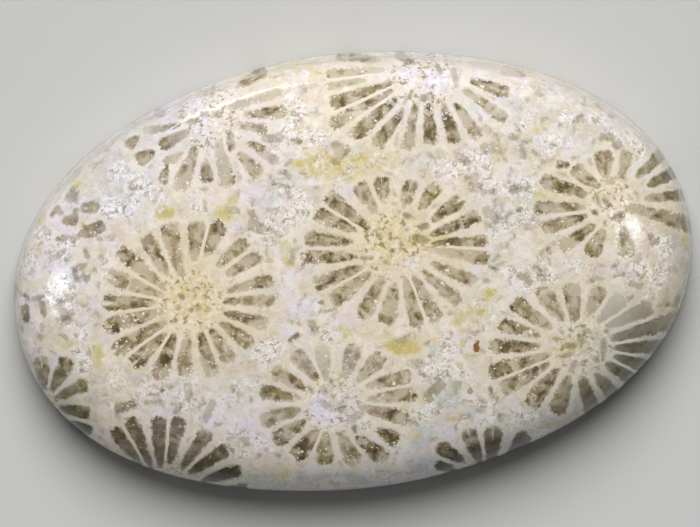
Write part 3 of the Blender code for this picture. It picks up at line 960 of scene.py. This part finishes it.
# %% Read what the mesh stores
material = bpy.data.materials.new("polished_coral_stone")
material.use_nodes = True
tree = material.node_tree
shader = tree.nodes["Principled BSDF"]

metres = put(tree, "ShaderNodeTexCoord").outputs["Object"]
inputs = {"Vector": metres, "Scale": (1 / MM, 1 / MM, 1 / MM)}
position = put(tree, "ShaderNodeMapping", inputs).outputs[0]  # in millimetres


def stored(name):
    """The three numbers kept in the mesh under a name."""
    vector = put(tree, "ShaderNodeAttribute", attribute_name=name).outputs["Vector"]
    return put(tree, "ShaderNodeSeparateXYZ", (vector,)).outputs


wall_gap, filling_darkness, run = stored("chamber")
cell_gap, cell_dark, chamber_number = stored("cell")
yellow, lilac, blue = stored("cloud")
from_middle, rust, back = stored("place")
septum_side, aside, froth_zone = stored("septum")
warm, cold, shadow = stored("tone")
grey_and_edge_shade, green = stored("grey_shade_green")[:2]
print("stored values ready")

# %% [markdown]
# Nearly every step from here on adds or multiplies masks, and a mask is only a value from 0
# to 1. A few short names for that arithmetic let the steps be read as sentences.


# %% Short ways to combine masks and values
def plus(*values):
    """The sum of two or more values."""
    total = values[0]
    for value in values[1:]:
        total = maths(tree, "ADD", total, value)
    return total


def both(*values):
    """The product of two or more values. Of masks, it is where all of them are."""
    product = values[0]
    for value in values[1:]:
        product = maths(tree, "MULTIPLY", product, value)
    return product


def larger(first, second):
    """The larger of two values. Of two masks, it is where either of them is."""
    return maths(tree, "MAXIMUM", first, second)


def stretched(value, factor, start):
    """A value times a factor, added to a start."""
    return maths(tree, "MULTIPLY_ADD", value, factor, start)


def off_centre(value, amount):
    """A noise moved to swing an amount to either side of 0."""
    return stretched(value, 2 * amount, -amount)


def unsigned(value):
    """A value without its sign."""
    return maths(tree, "ABSOLUTE", value)


def dimmed(colour, level):
    """A colour made darker or lighter by a level, where 1 leaves it as it is."""
    level = put(tree, "ShaderNodeCombineXYZ", (level, level, level)).outputs[0]
    return blend(tree, 1.0, colour, level, "MULTIPLY")


# %% [markdown]
# ### Clouded mineral
#
# Chalcedony filled the spaces between the cups a little at a time, so it is cream, rosy, lilac
# and bluish by turns. The patch group gives each patch its chance of a tint, and the clouds
# drawn on the sheet add to that chance where the stone has them. Noises of four sizes, from
# some two millimetres down to a tenth, serve here and in later steps.

# %% Patches of mineral
CREAM = paint(238, 227, 211)
ROSE = paint(236, 224, 219)
LILAC = paint(231, 223, 229)
BLUISH = paint(220, 219, 212)
SAND = paint(227, 212, 186)
slow = noise(tree, position, 0.45, 2.0)
wide = noise(tree, position, 1.4, 2.5, 0.5)
middling = noise(tree, position, 2.4, 3.0, 0.4)
fine = noise(tree, position, 7.5, 3.0)
patch = use_group(tree, patches, Position=position, Scale=1.1, Wander=0.9)
ground = blend(tree, mask(tree, patch["First"], 0.25, 0.75), CREAM, SAND)
rose_chance = plus(stretched(slow, 0.8, stretched(lilac, 0.5, -0.4)), patch["Second"])
ground = blend(tree, mask(tree, rose_chance, 0.35, 0.85), ground, ROSE)
lilac_chance = plus(rose_chance, off_centre(middling, 0.5))
ground = blend(tree, mask(tree, lilac_chance, 0.80, 1.15), ground, LILAC)
blue_chance = stretched(blue, 0.5, patch["Third"])
ground = blend(tree, mask(tree, blue_chance, 0.75, 1.10), ground, BLUISH)
unevenness = plus(off_centre(middling, 0.24), off_centre(fine, 0.05))
level = plus(unevenness, stretched(patch["Third"], -0.14, 1.055))
# the grey patches darken the ground: greyer mineral, and painted shade towards the edges
ground = dimmed(ground, stretched(grey_and_edge_shade, -0.20, level))
print("patches of mineral")

# %% [markdown]
# ### Stains
#
# Iron soaked into the stone with water, so a stain is deepest in its middle and its edge is
# ragged. A noise is added to the drawn ellipse before it is cut twice, once for the pale rim
# and once, further in, for the deep middle.

# %% Yellow stains
STAIN = paint(221, 210, 167)
DEEP_STAIN = paint(206, 190, 112)
stain_noise = both(noise(tree, position, 2.2, 3.0, 0.4), 2.0)
stain_depth = plus(yellow, stain_noise, -1.07)
ground = blend(tree, mask(tree, stain_depth, 0.10, 0.6), ground, STAIN)
ground = blend(tree, both(mask(tree, stain_depth, 0.50, 0.95), 0.9), ground, DEEP_STAIN)
print("stains")

# %% [markdown]
# ### Pores and froth
#
# The thin skeleton between the cups is full of pores. A noise of their own opens them, cut high
# so that they stay apart, and a mask keeps them off the septa and the cups' middles.

# %% Pores
PORE = paint(180, 168, 142)
beyond = mask(tree, wall_gap, 0.06, 0.22)  # 0 on the septa, 1 between the cups
between = both(beyond, mask(tree, from_middle, 0.85, 1.1))
pore_field = noise(tree, position, 1.7, 2.0, 0.4)
ground = blend(tree, both(mask(tree, pore_field, 0.54, 0.72), between, 0.9), ground, PORE)
print("pores")

# %% [markdown]
# Where the thin skeleton is finest it looks like froth: white curls with dark gaps between
# them, on a pale veil. The curls come from one noise, cut along its middle value, which makes
# lines, and below it, which makes the gaps. A second noise adds loose crumbs of both.

# %% Froth
VEIL = paint(230, 222, 217)  # the pale mineral that the froth's curls lie in
WHITE = paint(254, 249, 243)
GAP = paint(203, 191, 167)
PEPPER = paint(140, 128, 103)
frothy = plus(froth_zone, off_centre(noise(tree, position, 0.9, 2.0), 1.3))
frothy = both(mask(tree, frothy, 0.15, 0.75), between)
folds = noise(tree, position, 2.6, 2.0, 1.0)
curls = mask(tree, unsigned(plus(folds, -0.5)), 0.06, 0.01)
ground = blend(tree, both(frothy, 0.5), ground, VEIL)
weak = stretched(frothy, 0.7, both(between, 0.2))  # a few curls lie outside the froth too
ground = blend(tree, both(weak, mask(tree, folds, 0.50, 0.38)), ground, GAP)
ground = blend(tree, both(frothy, mask(tree, folds, 0.40, 0.28), 0.6), ground, PEPPER)
ground = blend(tree, both(weak, curls), ground, WHITE)
crumbs = noise(tree, position, 3.5, 2.0, 0.9)
for start, end, strength, crumb in (
    (0.45, 0.36, 0.55, GAP),
    (0.37, 0.31, 0.65, PEPPER),
    (0.56, 0.64, 0.85, WHITE),
):
    ground = blend(tree, both(frothy, mask(tree, crumbs, start, end), strength), ground, crumb)
print("froth")

# %% [markdown]
# ### Septa and spongy middles
#
# The septa are the coral's own skeleton, the cleanest cream in the stone. They need no drawing
# of their own: they are what lies within a sixth of a millimetre of a chamber, fading from
# there. In a cup's middle they break up into a sponge, full of small holes that open between
# one septum and the next.

# %% Septa and middles
SEPTUM = paint(238, 227, 205)
SPONGE = paint(232, 217, 186)
SPONGE_HOLE = paint(152, 137, 98)
septum_edge = both(mask(tree, wall_gap, 0.16, 0.02), 0.8)
septum_core = both(mask(tree, wall_gap, 0.42, 0.16), 0.35)
ground = blend(tree, larger(septum_edge, septum_core), ground, SEPTUM)
in_middle = mask(tree, from_middle, 1.05, 0.75)
ground = blend(tree, both(in_middle, mask(tree, lilac, 0.8, 0.2), 0.45), ground, SPONGE)
# The side changes sign along a chamber's own middle as well, but no septum runs there
deep_inside = both(mask(tree, unsigned(aside), 0.6, 0.4), mask(tree, wall_gap, -0.04, -0.09))
off_septum = plus(unsigned(septum_side), deep_inside)  # 0 half way between two chambers
opening = mask(tree, off_septum, 0.03, 0.22)
sponge = plus(noise(tree, position, 4.3, 2.0, 0.6), stretched(opening, 0.08, -0.05))
ground = blend(tree, both(in_middle, mask(tree, sponge, 0.54, 0.66), 0.8), ground, SPONGE_HOLE)
ground = blend(tree, both(in_middle, mask(tree, sponge, 0.44, 0.36), 0.5), ground, WHITE)
print("septa and middles")

# %% [markdown]
# ### Grains
#
# White grains are sown over the froth and, in clusters, elsewhere. In the froth each has a tiny
# pit beside it, shown as a dark fleck of painted shade that always lies on the same side: the same
# specks, looked up a little to one side. The fine noise bends their places, so that no grain is
# quite round. The one rusty spot is cut out of its ellipses by a noise, like the stains.

# %% Grains, flecks and rust
RUST = paint(152, 103, 58)
GRAIN_SPACING = 0.17  # mm between places where a grain may lie
GRAIN_SHARE = 0.5  # of those places, how many have one
GRAIN_RADIUS = 0.055  # mm
FLECK_RADIUS = 0.045
FLECK_SIDE = (-0.05, 0.055, 0.0)  # mm to one side, where the flecks are looked up
inputs = {0: off_centre(fine, 0.12), 1: (1.0, -1.0, 1.0)}
bend = put(tree, "ShaderNodeVectorMath", inputs, operation="MULTIPLY").outputs[0]
grain_place = put(tree, "ShaderNodeVectorMath", (position, bend)).outputs[0]
beside = put(tree, "ShaderNodeVectorMath", (grain_place, FLECK_SIDE)).outputs[0]
sowing = {"Spacing": GRAIN_SPACING, "Share": GRAIN_SHARE}
shaded_pits = use_group(tree, specks, Position=beside, Radius=FLECK_RADIUS, **sowing)["Mask"]
grains = use_group(tree, specks, Position=grain_place, Radius=GRAIN_RADIUS, **sowing)["Mask"]
frothy_shaded_pits = both(shaded_pits, frothy)
clustered = both(mask(tree, noise(tree, position, 2.6, 1.0), 0.60, 0.68), 0.7)
# painted shade: a dark fleck on the same side of each grain in the froth
ground = blend(tree, both(frothy_shaded_pits, 0.55), ground, PEPPER)
ground = blend(tree, both(larger(both(frothy, 0.9), clustered), grains), ground, WHITE)
rust_edge = both(rust, noise(tree, position, 4.5, 2.0))
ground = blend(tree, mask(tree, rust_edge, 0.24, 0.38), ground, RUST)
print("grains")

# %% [markdown]
# ### Casts
#
# Whole parts of the stone lean to gold, to blue or to green, septa and all, and the grey
# parts and the painted shade are ashen. A cast multiplies the colour beneath it, as tinted glass
# would, so the pattern shows through it unchanged.

# %% Warm, cold and green casts
GOLDEN = (1.03, 0.985, 0.90, 1.0)
COLD = (0.965, 0.985, 1.10, 1.0)
ASHEN_SHADE_TINT = (0.945, 0.99, 1.04, 1.0)
GREENISH = (0.975, 0.995, 0.975, 1.0)
PINKISH = (1.005, 0.975, 0.985, 1.0)
MOSSY = (0.98, 1.0, 0.985, 1.0)
# painted shade and greyer mineral together: where the grey patches or the painted shadows lie
shade_and_grey = larger(grey_and_edge_shade, shadow)


def cast(colour, share):
    """A colour with the casts that lie over this part of the stone laid on it."""
    for where, tint in ((warm, GOLDEN), (cold, COLD), (green, MOSSY), (shade_and_grey, ASHEN_SHADE_TINT)):
        colour = blend(tree, both(where, share), colour, tint, "MULTIPLY")
    return colour


ground = blend(tree, mask(tree, wide, 0.48, 0.62), ground, GREENISH, "MULTIPLY")
ground = blend(tree, mask(tree, wide, 0.48, 0.34), ground, PINKISH, "MULTIPLY")
ground = cast(ground, 1.0)
print("casts")

# %% [markdown]
# ### The chambers' edges
#
# A chamber's wall is crumbly, and its outer end more so than its sides. Two noises are added to
# the stored distance before it is cut: a coarse one for the shape, and a fine one for the crumbs.
# Where two chambers come close, the septum between them has to stay whole, so a thin winding
# line is kept free between any two.

# %% Ragged edges
toothed = mask(tree, run, 0.9, 2.3)  # mm out from a chamber's start
ragged = off_centre(noise(tree, position, 2.3, 3.0), 0.13)
crumbly = both(off_centre(noise(tree, position, 6.0, 2.0), 0.13), stretched(toothed, 1.2, 0.4))
pointed = both(mask(tree, run, 0.5, -0.1), 0.09)  # the inner ends run out to a point
rough_gap = plus(wall_gap, ragged, crumbly, pointed)
winding = off_centre(noise(tree, position, 1.8, 2.0), 0.16)
septum_line = plus(unsigned(plus(septum_side, winding)), deep_inside)
past_septum = mask(tree, plus(septum_line, both(crumbly, 0.5)), 0.09, 0.20)
past_septum = larger(past_septum, mask(tree, wall_gap, -0.12, -0.18))
in_chamber = both(mask(tree, rough_gap, 0.12, -0.05), past_septum)
print("edges")

# %% [markdown]
# ### The chambers' filling
#
# The filling is clear chalcedony over a dark wall, and how dark it looks says how deep the eye
# gets. So one number stands for depth, and four colours follow it from clear to nearly black.
# Blotches and lengthwise streaks come from noises, the second read along each chamber's own
# length and width, and the rest from the darkness listed with the chamber.

# %% Depth and colour
CLEAR = paint(199, 187, 162)
FILLING = paint(162, 145, 114)
OLIVE = paint(107, 94, 65)
DEEP = paint(72, 62, 42)
MOSS = paint(152, 141, 92)
ROSY = paint(174, 152, 136)
blotches = noise(tree, position, 1.7, 3.5, 0.5)
inputs = (run, both(aside, 0.9), both(chamber_number, 3.0))
along_chamber = put(tree, "ShaderNodeCombineXYZ", inputs).outputs[0]
streaks = noise(tree, along_chamber, 1.5, 2.0, 0.3)
depth = plus(both(blotches, 1.15), both(streaks, 0.38))
depth = plus(depth, stretched(filling_darkness, 0.55, -0.70), off_centre(fine, 0.15))
tinted = blend(tree, mask(tree, wide, 0.52, 0.66), FILLING, MOSS)
tinted = blend(tree, mask(tree, wide, 0.48, 0.34), tinted, ROSY)
filling = blend(tree, mask(tree, depth, 0.34, 0.50), CLEAR, tinted)
filling = blend(tree, mask(tree, depth, 0.50, 0.66), filling, OLIVE)
filling = blend(tree, both(mask(tree, depth, 0.68, 0.80), 0.7), filling, DEEP)
print("depth")

# %% [markdown]
# Some chambers are frosted, some are stained amber, and pale bars cross a few, where the animal
# built a floor under itself as it grew upwards. The bars are a noise that is read along the
# chamber only, so they run across it from side to side.

# %% Frost, amber and bars
FROSTED = paint(190, 181, 170)
AMBER = paint(156, 136, 84)
GLASSY = paint(150, 141, 110)
filling = blend(tree, both(lilac, 0.45), filling, FROSTED)
filling = blend(tree, both(mask(tree, yellow, 0.5, 1.1), 0.75), filling, AMBER)
filling = blend(tree, both(shade_and_grey, 0.4), filling, GLASSY)
filling = dimmed(filling, plus(off_centre(middling, 0.14), off_centre(fine, 0.16), 1.0))
bar_run = plus(run, off_centre(blotches, 0.5))
bar_place = put(tree, "ShaderNodeCombineXYZ", (bar_run, chamber_number, 0.0)).outputs[0]
bars = mask(tree, noise(tree, bar_place, 1.3, 1.0), 0.66, 0.71)
filling = blend(tree, both(bars, 0.5), filling, SEPTUM)
filling = blend(tree, both(mask(tree, run, 0.1, -0.4), 0.5), filling, SAND)
print("bars")

# %% [markdown]
# Grains cling to the chambers' edges like sugar, and some chambers are strewn with them. A
# chamber that is listed as nearly clear takes on the colour of the stone around it. Along the
# bottom and the right edge, where the light falls away, painted shadow darkens the filling to
# nearly black.

# %% Sugar and shadow
SUGAR_SPACING = 0.31  # mm
SUGAR_RADIUS = 0.085
SUGAR_SHARE = 0.4
DARKEST = 0.12  # part of its light that a chamber keeps in the deepest shadow
edge_grit = both(mask(tree, rough_gap, -0.12, 0.0), 0.9)
speckled = larger(edge_grit, mask(tree, noise(tree, position, 2.2, 1.0), 0.52, 0.60))
speckled = both(speckled, mask(tree, off_septum, 0.16, 0.3), stretched(shade_and_grey, -0.8, 1.0))
sowing = {"Spacing": SUGAR_SPACING, "Radius": SUGAR_RADIUS, "Share": SUGAR_SHARE}
sugar = use_group(tree, specks, Position=grain_place, **sowing)["Mask"]
sugary = both(speckled, larger(grains, both(sugar, 0.85)))
filling = blend(tree, sugary, filling, WHITE)
milky = both(mask(tree, filling_darkness, 0.45, 0.15), 0.6)
filling = blend(tree, milky, filling, ground)
# painted shade: the shadows and the grey patches darken the filling, down to DARKEST
lit = stretched(shadow, -0.72, stretched(grey_and_edge_shade, -0.14, 1.0))
filling = cast(dimmed(filling, larger(lit, DARKEST)), 0.7)
colour = blend(tree, in_chamber, ground, filling)
print("chambers")

# %% [markdown]
# ### Loose cells
#
# The loose cells have the same filling, in a thinner layer, and the same ragged edges. They
# stop short of the chambers, which cover them.

# %% Loose cells
rough_cell = plus(both(ragged, 0.7), cell_gap, both(crumbly, 0.7))
in_cell = mask(tree, rough_cell, 0.08, -0.07)
cell_colour = blend(tree, mask(tree, blotches, 0.4, 0.62), tinted, OLIVE)
cell_colour = cast(blend(tree, sugary, cell_colour, WHITE), 0.8)
cell_cover = both(in_cell, stretched(cell_dark, 0.75, 0.2), mask(tree, wall_gap, 0.0, 0.08))
colour = blend(tree, cell_cover, colour, cell_colour)
fill(tree, shader.inputs["Base Color"], colour)
print("loose cells")

# %% [markdown]
# ## The polish
#
# Chalcedony takes a high polish, though not the same everywhere. The froth keeps tiny pits,
# which break up a highlight, and the flat back is only ground.

# %% Gloss and pits
PIT_DEPTH = 0.02 * MM
CHALCEDONY_IOR = 1.54
polish = stretched(frothy_shaded_pits, 0.2, stretched(fine, 0.12, 0.04))
fill(tree, shader.inputs["Roughness"], stretched(back, 0.35, polish))
pits = plus(stretched(frothy_shaded_pits, -0.5, fine), middling)
inputs = {"Strength": 0.3, "Distance": PIT_DEPTH, "Height": pits}
fill(tree, shader.inputs["Normal"], put(tree, "ShaderNodeBump", inputs).outputs[0])
shader.inputs["IOR"].default_value = CHALCEDONY_IOR
stone.data.materials.append(material)
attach(stone, "root")
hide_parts(NODE)
print("material", material.name, "with", len(tree.nodes), "nodes")

# %% [markdown]
# ## Floor and light
#
# The stone lies on a plain pale floor, which is there only to carry it and to take its shadow.
# It could be a curved sheet, as in a studio, but from above a flat one looks the same.

# %% The floor
FLOOR_SIZE = 6.0
nothing_selected()
bpy.ops.mesh.primitive_plane_add(size=FLOOR_SIZE, location=(0, 0, 0))
floor = bpy.context.object
floor.name = "floor"
floor_material = bpy.data.materials.new("pale_floor")
floor_material.use_nodes = True
floor_shader = floor_material.node_tree.nodes["Principled BSDF"]
floor_shader.inputs["Base Color"].default_value = paint(205, 205, 203)
floor_shader.inputs["Roughness"].default_value = 0.9
floor.data.materials.append(floor_material)
print("floor", FLOOR_SIZE, "m")

# %% [markdown]
# One big box above gives all the even light, and isn't mirrored, or it would whiten the whole
# dome. The other lamps are there only to be mirrored. A dome shows each of them as a highlight,
# whose place says where the lamp is, because each point of the dome sends one direction to the
# eye. A strip and a panel beyond the stone make the streak along its upper shoulder, and a cool
# lamp hangs to either side.


# %% The lamps
def lamp(name, lean, compass, distance, size, power, colour=(1, 1, 1)):
    """An area lamp that faces the stone.

    lean is its angle from the columns, and compass is anticlockwise from the sheet's right.
    """
    data = bpy.data.lights.new(name, "AREA")
    data.shape = "ELLIPSE"
    data.size, data.size_y = size
    data.energy = power
    data.color = colour
    lean, compass = math.radians(lean), math.radians(compass)
    sideways = SHEET_RIGHT * math.cos(compass) + SHEET_UP * math.sin(compass)
    direction = ALONG_COLUMNS * math.cos(lean) + sideways * math.sin(lean)
    obj = bpy.data.objects.new(name, data)
    obj.location = direction * distance
    obj.rotation_mode = "QUATERNION"
    obj.rotation_quaternion = direction.to_track_quat("Z", "Y")
    bpy.context.scene.collection.objects.link(obj)
    return obj


COOL = (0.82, 0.92, 1.0)
key = lamp("key_box", lean=32, compass=92, distance=1.2, size=(0.95, 0.95), power=17)
key.visible_glossy = False
mirrored = (
    lamp("far_strip", lean=78, compass=112, distance=1.2, size=(0.45, 0.20), power=1.5),
    lamp("far_panel", lean=70, compass=78, distance=1.2, size=(0.5, 0.3), power=0.7),
    lamp("left_lamp", lean=48, compass=190, distance=1.0, size=(0.20, 0.32), power=1.35, colour=COOL),
    lamp("right_lamp", lean=37, compass=-7, distance=1.0, size=(0.08, 0.22), power=0.55, colour=COOL),
)
for obj in mirrored:
    obj.visible_diffuse = False
print("lamps", [obj.name for obj in (key, *mirrored)])

# %% [markdown]
# The room adds a weak light from all round, so that no shadow is quite black. The colours are
# shown as they were chosen, with no film look over them.

# %% The room's light
WORLD_COLOUR = (0.86, 0.86, 0.86, 1.0)
WORLD_STRENGTH = 0.12
world = bpy.data.worlds.new("studio")
world.use_nodes = True
background = world.node_tree.nodes["Background"]
background.inputs["Color"].default_value = WORLD_COLOUR
background.inputs["Strength"].default_value = WORLD_STRENGTH
bpy.context.scene.world = world
bpy.context.scene.view_settings.view_transform = "Standard"
print("world strength", WORLD_STRENGTH)
